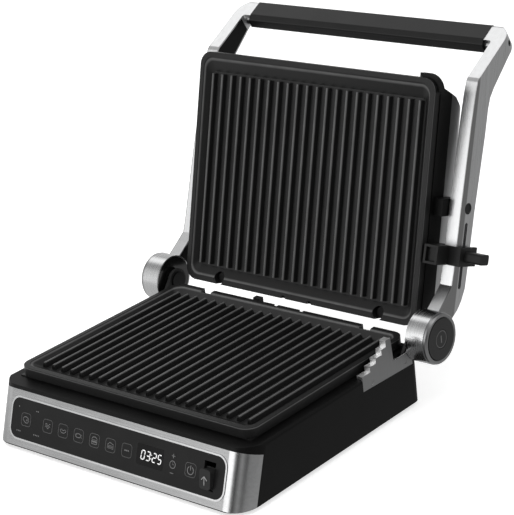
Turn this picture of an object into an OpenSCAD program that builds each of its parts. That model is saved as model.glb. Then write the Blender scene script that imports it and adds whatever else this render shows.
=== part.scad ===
// Electric indoor contact grill: base with touch panel, hinged lid on a bail, floating upper pan.
// Sizes are in mm. +Z is up, -Y is the front with the control panel, +X is the side with the ladder.
// The lid pieces are drawn shut, as they lie on the base, and then swung open about the hinge.

/* [Plates] */
// width of both grill plates
plate_w = 290; // [276:1:310]
// depth of the lower plate, front to back
plate_d = 226; // [214:1:240]
// how much longer the upper plate is than the lower one
upper_extra = 7.4; // [2:0.2:12]
// number of ribs on each plate
rib_n = 22; // [16:1:24]
// height of a rib above the floor of its plate
rib_h = 5; // [3:0.2:6]
// width of a rib at its crown
rib_top = 2.8; // [1.6:0.2:3.6]
// width of a rib at its foot
rib_foot = 5.4; // [4:0.2:6.4]
// width of the raised rim round a plate
rim_w = 4.6; // [3:0.2:6]
// corner radius of a plate
plate_r = 13; // [8:0.5:18]

/* [Base] */
// height of the rubber feet
foot_h = 4; // [3:0.5:8]
// height of the deck above the table
deck_h = 57.9; // [54:0.1:64]
// how far the base runs past the plate on each side
side_margin = 11.6; // [10.6:0.1:16]
// how far the plate stands back from the base's front bottom edge
front_margin = 35.5; // [32:0.5:44]
// backward lean of the front panel
lean = 20; // [14:0.5:24]
// corner radius at the front of the base
corner_r = 22; // [16:1:28]
// wall thickness of the plastic housing
wall = 2.5; // [2:0.1:3]
// thickness of the steel front
steel_t = 1; // [0.6:0.1:1.4]
// how far the steel front wraps round the corners
wrap = 19.5; // [12:0.5:30]

/* [Panel] */
// how far the touch panel's frame stays from each side of the base
panel_margin = 21.6; // [18:0.2:28]
// how far the touch panel's frame stays from the slope's upper and lower edges
panel_edge = 8; // [7.2:0.1:10]
// spacing of the programme pads
pad_pitch = 20.4; // [17:0.1:21]
// side of a programme pad
pad_s = 12.6; // [9:0.2:14]
// travel of the plate release slider
slide_travel = 5; // [3:0.5:5]

/* [Hinge] */
// height of the hinge axis above the deck
axis_rise = 9.67; // [9:0.1:16]
// distance from the back of the plate to the hinge axis
axis_back = 6.5; // [6:0.1:10]
// radius of the hinge drums
drum_r = 24.8; // [22:0.2:27]
// length of a drum's steel barrel
drum_l = 19.8; // [18:0.2:24]
// radius of the hinge pins
pin_r = 6; // [4:0.1:7]
// radial play of a pin in its running bore
run_play = 0.05; // [0.02:0.01:0.09]
// angle of the lid in this pose, up from shut
lid_open = 105.78; // [95:0.01:115]

/* [Lid] */
// gap between the rib crowns of the two plates when the lid lies level
plate_gap = 6.6; // [5.6:0.1:12]
// depth of the pan behind the upper plate
pan_deep = 27; // [22:0.5:32]
// rise of the steel cover over the pan
cover_rise = 21.5; // [14:0.5:23]
// thickness of the steel cover
cover_t = 1; // [0.8:0.1:1.4]
// distance of the pan's pivot from the hinge axis
pivot_s = 118; // [112:1:128]
// radius of the pan's pivot pins
pivot_r = 5.4; // [4:0.1:6]

/* [Arms] */
// width of an arm
arm_w = 13.4; // [11:0.2:14]
// depth of an arm where the clip rides
arm_deep = 22.3; // [19:0.1:23]
// angle by which the arms bend back towards the handle
bend = 45.5; // [38:0.5:50]
// length of the bent part of an arm
reach = 70; // [62:1:80]
// outer corner radius of the bail
bail_r = 19.5; // [10:0.5:20.5]
// diameter of the handle rod
rod_d = 10.6; // [8:0.2:11]

/* [Clip] */
// length of the clip along the arm
clip_l = 18; // [14:1:20]
// width of the slot that the clip runs in
slot_w = 4.6; // [3.6:0.2:5]
// how far the clip travels each way from this pose
clip_travel = 22; // [12:1:22]
// how far the thumb tab stands out from the clip
tab_l = 18.4; // [10:0.2:22]

/* [Rack] */
// thickness of the rack's sheet steel
rack_t = 1.2; // [1:0.1:1.5]
// width of the rack's treads
tread_w = 6.6; // [5:0.1:7]

/* [Hidden] */
$fn = 48;

// The frame's origin is under the middle of the whole grill's bounding box.
mid_x = 7.2;
mid_y = 220.6;

base_hw = plate_w / 2 + side_margin;
plate_y0 = front_margin;
plate_y1 = plate_y0 + plate_d;
hinge_y = plate_y1 + axis_back;
hinge_z = deck_h + axis_rise;
base_d = plate_y1 + 0.5;
back_r = 9;
edge_r = 3.2;
fit = 0.2;
move = 0.3;

// lower plate: its rib crowns lie at the hinge axis height
rib_z = hinge_z;
rim_up = 1;
plate_foot = deck_h + 1.3;
rib_run = plate_d - 35;
rib_margin = 16.6;
rib_pitch = (plate_w - 2 * rib_margin) / (rib_n - 1);

// front panel, measured up the slope from the base's bottom edge
slope_l = (deck_h - foot_h) / cos(lean);
panel_w = 2 * (base_hw - panel_margin);
panel_h = round(10 * (slope_l - 2 * panel_edge)) / 10;
panel_hw = panel_w / 2;
fascia_s0 = 0.8;
fascia_s1 = slope_l - 3.6;
panel_s = (fascia_s0 + fascia_s1) / 2 + 0.4;
panel_r = 11;
panel_ring = 1.6;
proud = 0.8;

// hinge drums, measured outwards from the middle plane
drum_x0 = base_hw + 0.5;
drum_x1 = drum_x0 + drum_l;
ring_x1 = drum_x1 + 4;
disc_r = 20;
cap_t = 1.5;
hub_r = 10.5;
brk_t = 3;
brk_x1 = base_hw - wall - fit;
brk_x0 = brk_x1 - brk_t;
button_r = 9;

// lid, measured along it from the hinge axis (s) and up from its rib plane (n)
upper_d = plate_d + upper_extra;
up_s0 = 3.6;
up_s1 = up_s0 + upper_d;
pan_hw = plate_w / 2 + 1;
up_foot = rib_h + 3.2;
pan_n0 = plate_gap + up_foot;
pan_n1 = plate_gap + pan_deep;
pan_n2 = pan_n1 + cover_rise;

// arms
arm_tan = 0.0577;
arm_n60 = plate_gap + 19.8;
bend_s = up_s1 + 11.5;
bend_n = arm_n60 + 25.3;
tip_u = reach - 12.6;
arm_x1 = drum_x0 + 10.9;
arm_x0 = arm_x1 - arm_w;
arm_splay = 0.0158;
top_x1 = arm_x1 + 3 - 190 * arm_splay;
top_x0 = top_x1 - arm_w;
rod_r = rod_d / 2;
rod_s = bend_s + 20.6;
rod_n = bend_n + 33.8;
cap_s = bend_s + 24.4;
cap_n = bend_n + 38;
grip_x = plate_w / 2 + 0.2;
pivot_n = arm_front(pivot_s) + arm_deep / 2 + 0.6;
boss_l = arm_x0 + 0.7 - pan_hw;
lug_r = 8.2;

// clip
clip_s = 73.4;
clip_n0 = 6.3;
clip_x0 = pan_hw + 2;
clip_x1 = arm_x1 + 5.3;
clip_out = clip_x1 + 3.6;
stud_r = slot_w / 2 - 0.3;

// rack steps: y of each riser from the first, and z of each tread
rack_x1 = base_hw - 0.1;
rack_x0 = rack_x1 - tread_w;
step_y = [178, 190, 199, 208.5, 215.5, 223];
step_z = [61.2, 66.2, 71, 76, 82.2];
rack_low = 46.4;

function arm_front(s) = arm_n60 + (s - 60) * arm_tan;

// ---------- helpers ----------

module place() translate([-mid_x, -mid_y, 0]) children();

// the shut lid's own frame, swung open about the hinge axis
module on_lid() place() translate([0, hinge_y, hinge_z]) rotate([-lid_open, 0, 0]) children();

// the sloping front: X right, Y up the slope, Z out of the panel
module on_front() place() translate([0, 0, foot_h]) rotate([90 - lean, 0, 0]) children();

// a flat shape in (y, z) stretched along X from x0 to x1
module along_x(x0, x1) translate([x0, 0, 0]) rotate([90, 0, 90]) linear_extrude(x1 - x0) children();

// the same for shapes drawn in the lid's (s, n)
module lid_x(x0, x1) along_x(x0, x1) mirror([1, 0]) children();

module rod_x(x0, x1, r) translate([x0, 0, 0]) rotate([0, 90, 0]) cylinder(h = x1 - x0, r = r);

module left_of() mirror([1, 0, 0]) children();

module soft(r) offset(r) offset(delta = -r) children();

module round_rect(w, h, r) {
    square([w - 2 * r, h], center = true);
    square([w, h - 2 * r], center = true);
    for (x = [-1, 1], y = [-1, 1]) translate([x * (w / 2 - r), y * (h / 2 - r)]) circle(r);
}

// ---------- base ----------

module front_plan(i) {
    r = corner_r - i;
    translate([-base_hw + i, corner_r]) square([2 * (base_hw - i), 400]);
    translate([-base_hw + corner_r, i]) square([2 * (base_hw - corner_r), r]);
    for (x = [-1, 1]) translate([x * (base_hw - corner_r), corner_r]) circle(r);
}

module back_plan(i) {
    r = max(back_r - i, 1);
    y = base_d - i - r;
    translate([-base_hw + i, -60]) square([2 * (base_hw - i), 60 + y]);
    translate([-base_hw + i + r, y - 1]) square([2 * (base_hw - i - r), r + 1]);
    for (x = [-1, 1]) translate([x * (base_hw - i - r), y]) circle(r);
}

// everything behind the leaning front, brought in by i
module lean_block(i) rotate([-lean, 0, 0]) translate([0, 0, -120]) linear_extrude(300) front_plan(i);

module base_block(i, z0, z1, top_r) {
    hw = base_hw - i;
    intersection() {
        translate([0, 0, foot_h]) lean_block(i);
        translate([0, 0, z0]) linear_extrude(z1 - z0) back_plan(i);
        translate([0, 500, 0]) rotate([90, 0, 0]) linear_extrude(600) {
            translate([-hw, z0 - 1]) square([2 * hw, z1 - top_r - z0 + 1]);
            translate([-hw + top_r, z0]) square([2 * (hw - top_r), z1 - z0]);
            for (x = [-1, 1]) translate([x * (hw - top_r), z1 - top_r]) circle(top_r);
        }
    }
}

// the part of the front and its corners that the steel covers
module fascia_zone() translate([0, 0, foot_h]) rotate([-lean, 0, 0])
    translate([-base_hw - 5, -5, fascia_s0]) cube([2 * base_hw + 10, wrap + 5, fascia_s1 - fascia_s0]);

module fascia_skin() intersection() {
    difference() {
        base_block(0, foot_h, deck_h, edge_r);
        base_block(steel_t, 0, deck_h + 10, edge_r);
    }
    fascia_zone();
}

module panel_hole(grow = 0) translate([0, panel_s, -12]) linear_extrude(20)
    round_rect(panel_w + 2 * grow, panel_h + 2 * grow, panel_r + grow);

pan_x = plate_w / 2 - 3;
pan_y0 = plate_y0 + 3;
pan_y1 = plate_y1 - 9;
inlet_x = -96;
sleeve_x0 = -46;
sleeve_x1 = -37.5;
inlet_z = foot_h + 24;

module rack_side() polygon([
    [step_y[0], rack_low], [step_y[0], step_z[0]], [step_y[1], step_z[0]], [step_y[1], step_z[1]],
    [step_y[2], step_z[1]], [step_y[2], step_z[2]], [step_y[3], step_z[2]], [step_y[3], step_z[3]],
    [step_y[4], step_z[3]], [step_y[4], step_z[4]], [step_y[5], step_z[4]],
    [step_y[5] + 2, deck_h + 0.3], [base_d - back_r, deck_h + 0.3], [base_d - back_r, rack_low - 2.6]
]);

module base_shell() color("#232325") {
    difference() {
        place() difference() {
            base_block(0, foot_h, deck_h, edge_r);
            base_block(wall + steel_t, foot_h - 1, deck_h - wall, 1);
            translate([-pan_x - fit, pan_y0 - fit, foot_h])
                cube([2 * (pan_x + fit), pan_y1 - pan_y0 + 2 * fit, deck_h]);
            fascia_skin();
            along_x(rack_x1 - rack_t, base_hw + 1) intersection() {
                offset(delta = fit) rack_side();
                translate([0, -1]) square([400, deck_h + 1]);
            }
            for (s = [-1, 1]) along_x(s * (brk_x0 + brk_t / 2) - brk_t / 2 - fit,
                s * (brk_x0 + brk_t / 2) + brk_t / 2 + fit)
                translate([base_d - 26, foot_h + 10]) square([40, deck_h]);
            translate([inlet_x, base_d + 5, inlet_z]) rotate([90, 0, 0]) cylinder(h = 20, r = 7.5);
            translate([sleeve_x0 - fit, base_d - 8, deck_h - 15]) cube([sleeve_x1 - sleeve_x0 + 2 * fit, 20, 30]);
            for (i = [0:9]) translate([20 + i * 10, base_d - 8, foot_h + 12]) cube([4, 12, 20]);
        }
        on_front() panel_hole();
    }
    place() for (p = posts, x = [-1, 1]) translate([x * p[0], p[1], foot_h + wall]) difference() {
        cylinder(h = deck_h - foot_h - 1.5 * wall, r = 3.6);
        translate([0, 0, -1]) cylinder(h = 16, r = 1.7);
    }
}

foot_x = base_hw - 30;
foot_y = [34, base_d - 30];
posts = [[base_hw - 56, plate_y0 - 4], [base_hw - 9.2, base_d - 58]];

module bottom_cover() color("#1b1b1d") place() difference() {
    base_block(wall + steel_t + fit, foot_h, foot_h + wall, 0.3);
    for (x = [-1, 1], y = foot_y) translate([x * foot_x, y, 0]) cylinder(h = 20, r = 5.3);
    for (p = posts, x = [-1, 1]) translate([x * p[0], p[1], 0]) {
        cylinder(h = 20, r = 1.8);
        translate([0, 0, foot_h - 1]) cylinder(h = 2.2, r = 3.6);
    }
    for (i = [-5:5], k = [-1, 1]) translate([i * 13 - 3, plate_y1 / 2 + k * 34 - 18, 0]) cube([6, 36, 20]);
}

module front_fascia() color("#b9babc") difference() {
    place() fascia_skin();
    on_front() panel_hole();
}

module panel_frame() color("#8d8e91") on_front() translate([0, panel_s, -2.4]) linear_extrude(2.4 + proud)
    difference() {
        round_rect(panel_w, panel_h, panel_r);
        round_rect(panel_w - 2 * panel_ring, panel_h - 2 * panel_ring, panel_r - panel_ring);
    }

// panel pieces: x from the middle of the panel, s up the slope
first_pad_x = 20.7 - panel_hw;
pad_x = [for (i = [0:5]) first_pad_x + 29.1 + i * pad_pitch];
pads_s = panel_s - 0.2;
disp_x = panel_hw - 89.8;
disp_w = 32;
disp_h = 19;
timer_x = disp_x + 27.6;
timer_pitch = 7.7;
power_x = panel_hw - 41;
slider_x = panel_hw - 19.5;
slider_w = 12.4;
slider_h = 19;
slider_up = 7;

module pad_shapes() {
    for (x = concat([first_pad_x], pad_x)) translate([x, pads_s]) round_rect(pad_s, pad_s, 3);
}

module timer_shapes() for (k = [-1, 0, 1]) translate([timer_x, pads_s + k * timer_pitch]) circle(3.1);

module power_shape() translate([power_x, pads_s]) round_rect(pad_s, pad_s, 3);

module disp_shape(grow = 0) translate([disp_x, pads_s + 0.8]) round_rect(disp_w + grow, disp_h + grow, 1.6);

module touch_panel() color("#2a2a2b") on_front() difference() {
    translate([0, panel_s, -2.4]) linear_extrude(2.4 + proud - 0.4)
        round_rect(panel_w - 2 * panel_ring, panel_h - 2 * panel_ring, panel_r - panel_ring);
    translate([0, 0, proud - 0.8]) linear_extrude(3) {
        pad_shapes();
        timer_shapes();
        power_shape();
        disp_shape();
    }
    translate([slider_x - slider_w / 2 - move, panel_s - slider_h / 2 - slide_travel / 2 - 1.3, -5])
        cube([slider_w + 2 * move, slider_h + slide_travel + 1.6, 10]);
}

module panel_inlay() translate([0, 0, proud - 0.8]) linear_extrude(0.5) children();

module program_pads() color("#3a3a3c") on_front() panel_inlay() pad_shapes();

module timer_pads() color("#3a3a3c") on_front() panel_inlay() timer_shapes();

module power_pad() color("#3a3a3c") on_front() panel_inlay() power_shape();

module display_window() color("#0c0c0d") on_front() panel_inlay() disp_shape();

module control_board() color("#24503a") on_front() difference() {
    translate([7 - panel_hw, panel_s - 15, -5.6]) cube([panel_w - 40, 30, 1.6]);
    for (x = [11 - panel_hw, 0, panel_hw - 37], k = [-1, 1]) translate([x, panel_s + k * 11.5, -8]) cylinder(h = 6, r = 1.6);
    translate([disp_x - 10, panel_s - 8, -8]) cube([20, 3, 6]);
}

module slider_at() translate([slider_x, panel_s - slide_travel / 2 - 0.5, 0]) children();

module release_slider() color("#161617") on_front() slider_at() {
    difference() {
        translate([0, 0, -4.2]) linear_extrude(slider_up + 4.2) round_rect(slider_w, slider_h - 1, 3);
        translate([-20, -slider_h / 2, slider_up - 2.6]) rotate([8, 0, 0]) translate([0, -20, 0]) cube([40, 60, 20]);
    }
    translate([0, 0, -5]) linear_extrude(2.3) square([slider_w + 5, slider_h + 1], center = true);
}

module feet() color("#1a1a1a") place() for (x = [-1, 1], y = foot_y) translate([x * foot_x, y, 0]) {
    cylinder(h = foot_h, r1 = 9, r2 = 10);
    cylinder(h = foot_h + wall, r = 5.3);
}

module base_screws() color("#7d7e80") place() for (p = posts, x = [-1, 1])
    translate([x * p[0], p[1], 0]) difference() {
        union() {
            translate([0, 0, foot_h - 0.4]) cylinder(h = 1.6, r = 3.4);
            translate([0, 0, foot_h + 1]) cylinder(h = 9, r = 1.65);
        }
        for (a = [0, 90]) rotate([0, 0, a]) translate([-2, -0.5, foot_h - 1]) cube([4, 1, 1.6]);
    }

module cord_gland() color("#1a1a1a") place() translate([inlet_x, 0, inlet_z]) rotate([-90, 0, 0])
    translate([0, 0, base_d]) difference() {
        union() {
            translate([0, 0, -6.2]) cylinder(h = 8, r = 7.4);
            cylinder(h = 2.4, r = 10);
            translate([0, 0, -6.2]) cylinder(h = 2.4, r = 9.4);
        }
        translate([0, 0, -10]) cylinder(h = 20, r = 3.8);
    }

module lower_pan() color("#141415") place() difference() {
    union() {
        translate([-pan_x, pan_y0, foot_h + 16]) cube([2 * pan_x, pan_y1 - pan_y0, plate_foot - foot_h - 16.4]);
        translate([-pan_x - 2, pan_y0 - 2, deck_h]) cube([2 * pan_x + 4, pan_y1 - pan_y0 + 4, 1]);
    }
    translate([-pan_x + 1.2, pan_y0 + 1.2, foot_h + 17.2])
        cube([2 * pan_x - 2.4, pan_y1 - pan_y0 - 2.4, deck_h]);
    for (x = [-1, 1]) translate([x * 60, pan_y1 - 4, foot_h + 40]) rotate([-90, 0, 0]) cylinder(h = 9, r = 4);
}

// a tubular element bent into a long flat loop; its two ends turn out through the back wall
module heater(w, d, r) {
    b = 26;
    for (x = [-1, 1]) translate([x * w / 2, b, 0]) rotate([-90, 0, 0]) cylinder(h = d - 2 * b, r = r);
    translate([-w / 2 + b, 0, 0]) rotate([0, 90, 0]) cylinder(h = w - 2 * b, r = r);
    for (x = [-1, 1]) translate([x * (w / 2 - b), b, 0]) rotate([0, 0, x > 0 ? 270 : 180])
        rotate_extrude(angle = 90) translate([b, 0]) circle(r);
    for (x = [-1, 1]) translate([x * (w / 2 - b), d - b, 0]) rotate([0, 0, x > 0 ? 0 : 90])
        rotate_extrude(angle = 90) translate([b, 0]) circle(r);
    for (x = [-1, 1]) translate([x > 0 ? 60 : -w / 2 + b, d, 0]) rotate([0, 90, 0])
        cylinder(h = w / 2 - b - 60, r = r);
    for (x = [-1, 1]) translate([x * 60, d, 0]) sphere(r);
}

module lower_element() color("#5b5552") place() translate([0, pan_y0 + 22, plate_foot - 6])
    heater(2 * pan_x - 60, pan_y1 - pan_y0 - 44, 3.3);

// a ribbed cast plate; its rib crowns lie at z = 0 and it hangs down to z = -foot
module grill_plate(d, y_ribs, run, foot) {
    rim_z = rim_up;
    difference() {
        union() {
            difference() {
                translate([0, d / 2, -foot]) linear_extrude(foot + rim_z) round_rect(plate_w, d, plate_r);
                hull() {
                    translate([0, d / 2, rim_z]) linear_extrude(1)
                        round_rect(plate_w - 2 * rim_w, d - 2 * rim_w, plate_r - rim_w / 2);
                    translate([0, y_ribs + run / 2, -rib_h]) linear_extrude(0.1)
                        round_rect(plate_w - 2 * rib_margin + 9, run + 4, 5);
                }
            }
            for (i = [0:rib_n - 1]) translate([-plate_w / 2 + rib_margin + i * rib_pitch, y_ribs, 0]) one_rib(run);
        }
        translate([0, d / 2, -foot - 1]) linear_extrude(foot - rib_h - 2.4)
            round_rect(plate_w - 8, d - 8, plate_r - 4);
    }
}

module one_rib(run) difference() {
    translate([0, run, 0]) rotate([90, 0, 0]) linear_extrude(run) polygon([
        [-rib_foot / 2, -rib_h - 0.4], [rib_foot / 2, -rib_h - 0.4], [rib_top / 2, -0.7],
        [rib_top / 2 - 0.7, 0], [-rib_top / 2 + 0.7, 0], [-rib_top / 2, -0.7]
    ]);
    for (k = [0, 1]) translate([-5, k * run, 0]) rotate([k == 0 ? 40 : -40, 0, 0])
        translate([0, k == 0 ? -10 : 0, -1.2]) cube([10, 10, 10]);
}

notch_x = 101;

module lower_plate() color("#1c1c1d") place() translate([0, plate_y0, rib_z]) difference() {
    grill_plate(plate_d, 18.2, rib_run, rib_z - plate_foot);
    for (x = [-notch_x, notch_x]) translate([x - 6.5, plate_d - 7, -4]) cube([13, 20, 20]);
    for (x = [-12.5, 19.5]) translate([x - 2.5, plate_d - 3, -2.4]) cube([5, 20, 20]);
}

module rack() color("#9fa0a2") place() difference() {
    union() {
        along_x(rack_x1 - rack_t, rack_x1) rack_side();
        along_x(rack_x0, rack_x1 - rack_t / 2) intersection() {
            difference() {
                rack_side();
                translate([rack_t, -rack_t]) rack_side();
            }
            translate([0, deck_h + 0.2]) square([step_y[5] - 0.5, 100]);
        }
    }
    for (y = [step_y[0] + 14, step_y[5] + 20]) translate([rack_x1 - 0.6, y, rack_low + 3.5])
        rotate([0, 90, 0]) cylinder(h = 2, r = 2);
}

module hinge_bracket_right() color("#2b2b2d") place() difference() {
    union() {
        along_x(brk_x0, brk_x1) {
            polygon([
                [base_d - 24, foot_h + 12], [base_d - 24, deck_h - 8], [hinge_y - 11, hinge_z + 5],
                [hinge_y + 11, hinge_z - 5], [base_d - 4, deck_h - 14], [base_d - 4, foot_h + 12]
            ]);
            translate([hinge_y, hinge_z]) circle(12);
        }
        translate([0, hinge_y, hinge_z]) rod_x(brk_x0 + 1, drum_x0 - 0.15, 9);
    }
    translate([0, hinge_y, hinge_z]) rod_x(brk_x0 - 5, drum_x0 + 5, pin_r);
}

module hinge_bracket_left() translate([-2 * mid_x, 0, 0]) left_of() hinge_bracket_right();

pin_x1 = drum_x0 + 13.5;

module pin_solid() {
    rod_x(brk_x0, pin_x1, pin_r);
    rod_x(brk_x0 - 1.8, brk_x0, 9);
    rod_x(pin_x1, pin_x1 + 1, pin_r - 1);
}

module hinge_pin_right() color("#8b8c8e") place() translate([0, hinge_y, hinge_z]) pin_solid();

module hinge_pin_left() color("#8b8c8e") place() translate([0, hinge_y, hinge_z]) left_of() pin_solid();

module cable_sleeve() color("#18181a") place() along_x(sleeve_x0, sleeve_x1) polygon([
    [base_d - 6, deck_h - 14], [base_d - 6, deck_h - 8], [base_d + 0.4, deck_h - 4],
    [hinge_y - 3.2, deck_h + 1.5], [hinge_y - 3.2, hinge_z + 1.2], [hinge_y + 2.4, hinge_z + 1.2],
    [hinge_y + 2.4, deck_h - 6], [base_d + 2, deck_h - 14]
]);

// ---------- lid: drums, arms and handle ----------

module drum_solid() difference() {
    union() {
        difference() {
            rod_x(drum_x0, drum_x1, drum_r);
            rod_x(drum_x0 - 1, drum_x0 + cap_t, drum_r - 1.4);
            rod_x(drum_x0 + cap_t + 3, drum_x1 + 1, drum_r - 3);
        }
        rod_x(drum_x0 + cap_t, drum_x0 + 11.5, hub_r);
    }
    rod_x(drum_x0 - 1, drum_x1, pin_r + run_play);
}

module drum_right() color("#a9aaac") on_lid() drum_solid();

module drum_left() color("#a9aaac") on_lid() left_of() drum_solid();

module ring_solid() translate([drum_x1, 0, 0]) rotate([0, 90, 0]) rotate_extrude() polygon([
    [disc_r + 0.3, 0], [drum_r - 0.6, 0], [drum_r - 0.6, 2.4], [drum_r - 1.8, 3.8],
    [disc_r + 1.2, 3.8], [disc_r + 0.3, 3.2]
]);

module drum_ring_right() color("#8f9092") on_lid() ring_solid();

module drum_ring_left() color("#8f9092") on_lid() left_of() ring_solid();

module disc_solid() {
    rod_x(drum_x1 - 0.6, ring_x1, disc_r);
    difference() {
        rod_x(drum_x1 - 3, drum_x1, drum_r - 3.1);
        rod_x(drum_x1 - 4, drum_x1 + 1, drum_r - 5.5);
    }
}

module drum_disc_right() color("#232324") on_lid() difference() {
    disc_solid();
    rod_x(drum_x1 - 2, ring_x1 + 1, button_r + move);
}

module drum_disc_left() color("#232324") on_lid() left_of() disc_solid();

module hinge_button() color("#2c2c2e") on_lid() difference() {
    union() {
        rod_x(drum_x1 - 2.2, ring_x1 - 0.2, button_r);
        rod_x(drum_x1 - 2.4, drum_x1 - 0.8, button_r + 1.6);
    }
    rod_x(drum_x1 - 3, ring_x1 - 2.2, button_r - 2);
}

module inner_cap_solid() difference() {
    rod_x(drum_x0 + 0.2, drum_x0 + cap_t, drum_r - 1.5);
    rod_x(drum_x0 - 1, drum_x0 + 5, pin_r + 0.5);
}

module inner_cap_right() color("#19191a") on_lid() inner_cap_solid();

module inner_cap_left() color("#19191a") on_lid() left_of() inner_cap_solid();

// side view of an arm in (s, n)
module arm_side() {
    tip = [bend_s + tip_u * cos(bend), bend_n + tip_u * sin(bend)];
    back = [tip[0] - 14.5 * sin(bend), tip[1] + 14.5 * cos(bend)];
    soft(4) polygon([
        [20, plate_gap - 3], [37, plate_gap + 11], [46, arm_front(46) - 0.8], [60, arm_front(60)],
        [116, arm_front(116)], [bend_s - 55, bend_n - 16.2], [bend_s - 24, bend_n - 12.9],
        [bend_s - 12, bend_n - 10.6],
        [bend_s - 8.5, bend_n - 8.6], [bend_s, bend_n], tip, back,
        [bend_s + 11, bend_n + 36.4], [bend_s - 3, bend_n + 27], [bend_s - 17, bend_n + 17.4],
        [bend_s - 27, bend_n + 12], [bend_s - 38, bend_n + 10], [bend_s - 62, bend_n + 8.6],
        [116, arm_front(116) + arm_deep + 1], [60, arm_front(60) + arm_deep], [42, arm_front(42) + arm_deep - 0.6],
        [30, plate_gap + 35.8], [22, plate_gap + 30.5], [8, plate_gap + 15]
    ]);
}

// front view of an arm in (x, u), u running up the bent part
module arm_front_view() {
    corner_u = tip_u - bail_r;
    plate_u = tip_u - 21;
    difference() {
        union() {
            polygon([
                [arm_x0 + 3, -300], [arm_x1 + 3, -300], [arm_x1 + 3, -190], [top_x1, 0], [top_x1, corner_u],
                [top_x0, corner_u], [top_x0, 0], [arm_x0 + 3, -190]
            ]);
            translate([grip_x, plate_u]) square([top_x1 - grip_x, corner_u - plate_u]);
            translate([grip_x, plate_u]) square([top_x1 - bail_r - grip_x, tip_u - plate_u]);
            intersection() {
                translate([top_x1 - bail_r, corner_u]) circle(bail_r);
                translate([top_x1 - bail_r - 0.1, corner_u - 0.1]) square(bail_r + 1);
            }
            translate([top_x0 - 3, plate_u - 3]) square([4, 4]);
        }
        translate([top_x0 - 3, plate_u - 3]) circle(3);
    }
}

module on_bend() translate([0, -bend_s, bend_n]) rotate([180 - bend, 0, 0]) children();

module slot_path(r, s0, s1, x0, x1) {
    len = (s1 - s0) / cos(atan(arm_tan));
    translate([0, -s0, pivot_n + (s0 - pivot_s) * arm_tan]) rotate([-atan(arm_tan), 0, 0]) along_x(x0, x1) {
        circle(r);
        translate([-len, 0]) circle(r);
        translate([-len, -r]) square([len, 2 * r]);
    }
}

module arm_body() difference() {
    intersection() {
        lid_x(grip_x, drum_x1) arm_side();
        on_bend() translate([0, 0, -240]) linear_extrude(300) arm_front_view();
    }
    rod_x(0, 400, drum_r + 0.05);
    translate([0, -rod_s, rod_n]) rod_x(0, top_x0 - 0.05, rod_r + 0.05);
    on_bend() translate([grip_x - 1, tip_u - 40, -60])
        cube([top_x0 - 0.05 - grip_x + 1, 60, 52]);
    translate([0, -pivot_s, pivot_n]) rod_x(0, 400, pivot_r + run_play);
    translate([0, -cap_s, cap_n]) rod_x(top_x1 - 12, 400, 3);
}

// the hollow in an arm's inner face, which a black liner fills up to u1 on the bent part
module liner_zone(edge, deep, u1) {
    x = arm_x0 + 3;
    intersection() {
        lid_x(arm_x0 - 9, arm_x1) offset(delta = -edge) arm_side();
        on_bend() translate([0, 0, -240]) linear_extrude(300) polygon([
            [x - 9, -230], [x + deep, -230], [x + deep, -190], [x + deep - (u1 + 190) * arm_splay, u1],
            [x - 9, u1]
        ]);
    }
}

module liner_solid() difference() {
    intersection() {
        liner_zone(1.5, 2, tip_u - 26);
        arm_body();
    }
    translate([0, -pivot_s, pivot_n]) rod_x(0, 400, pivot_r + 0.6);
}

module arm_solid() difference() {
    arm_body();
    difference() {
        liner_zone(1.5, 2, tip_u - 26);
        translate([0, -pivot_s, pivot_n]) rod_x(0, 400, pivot_r + 0.6);
    }
}

module arm_liner_right() color("#19191a") on_lid() liner_solid();

module arm_liner_left() color("#19191a") on_lid() left_of() liner_solid();

module arm_right() color("#b4b5b7") on_lid() difference() {
    arm_solid();
    slot_path(slot_w / 2, clip_s - clip_travel - 7, clip_s + clip_travel + 7, arm_x1 - 6, 400);
}

module arm_left() color("#b4b5b7") on_lid() left_of() arm_solid();

module grip_side() soft(2.6) polygon([
    [bend_s + 40.2, bend_n + 40.4], [bend_s + 26.5, bend_n + 26.3], [bend_s + 20.5, bend_n + 24.3],
    [bend_s + 13.2, bend_n + 29.3], [bend_s + 13.2, bend_n + 40], [bend_s + 22, bend_n + 48.6],
    [bend_s + 32.4, bend_n + 49]
]);

module handle_grip() color("#262627") on_lid() difference() {
    lid_x(-grip_x, grip_x) grip_side();
    translate([0, -rod_s, rod_n]) rod_x(-400, 400, rod_r);
}

module handle_rod() color("#6f7072") on_lid() translate([0, -rod_s, rod_n])
    rod_x(-top_x0 + 0.05, top_x0 - 0.05, rod_r);

module screw_cap() translate([0, -cap_s, cap_n]) rod_x(top_x1 - 11.8, top_x1 - 2.4, 2.9);

module arm_screw_caps() color("#1c1c1d") on_lid() {
    screw_cap();
    left_of() screw_cap();
}

// ---------- lid: floating pan ----------

module pan_block(i, n0, n1) {
    s0 = up_s0 + 4.4;
    s1 = up_s1 - 4;
    intersection() {
        translate([0, -(s0 + s1) / 2, n0]) linear_extrude(n1 - n0)
            round_rect(2 * (pan_hw - i), s1 - s0 - 2 * i, plate_r + 1 - i);
        lid_x(-200, 200) polygon([
            [s0 + i, 0], [s0 + i, pan_n1 + 3], [s0 + i + 12, pan_n2 - i], [s1 - 40 - i, pan_n2 - i],
            [s1 - 23 - i, pan_n2 - 5.5 - i], [s1 - 13 - i, pan_n1 + 7], [s1 - i, pan_n0], [s1 - i, 0]
        ]);
        translate([0, 100, 0]) rotate([90, 0, 0]) linear_extrude(500) {
            translate([-pan_hw + i, 0]) square([2 * (pan_hw - i), pan_n2 - 9 - i]);
            translate([-pan_hw + 9 + i, 0]) square([2 * (pan_hw - 9 - i), pan_n2 - i]);
            for (x = [-1, 1]) translate([x * (pan_hw - 9 - i), pan_n2 - 9 - i]) circle(9);
        }
    }
}

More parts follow.
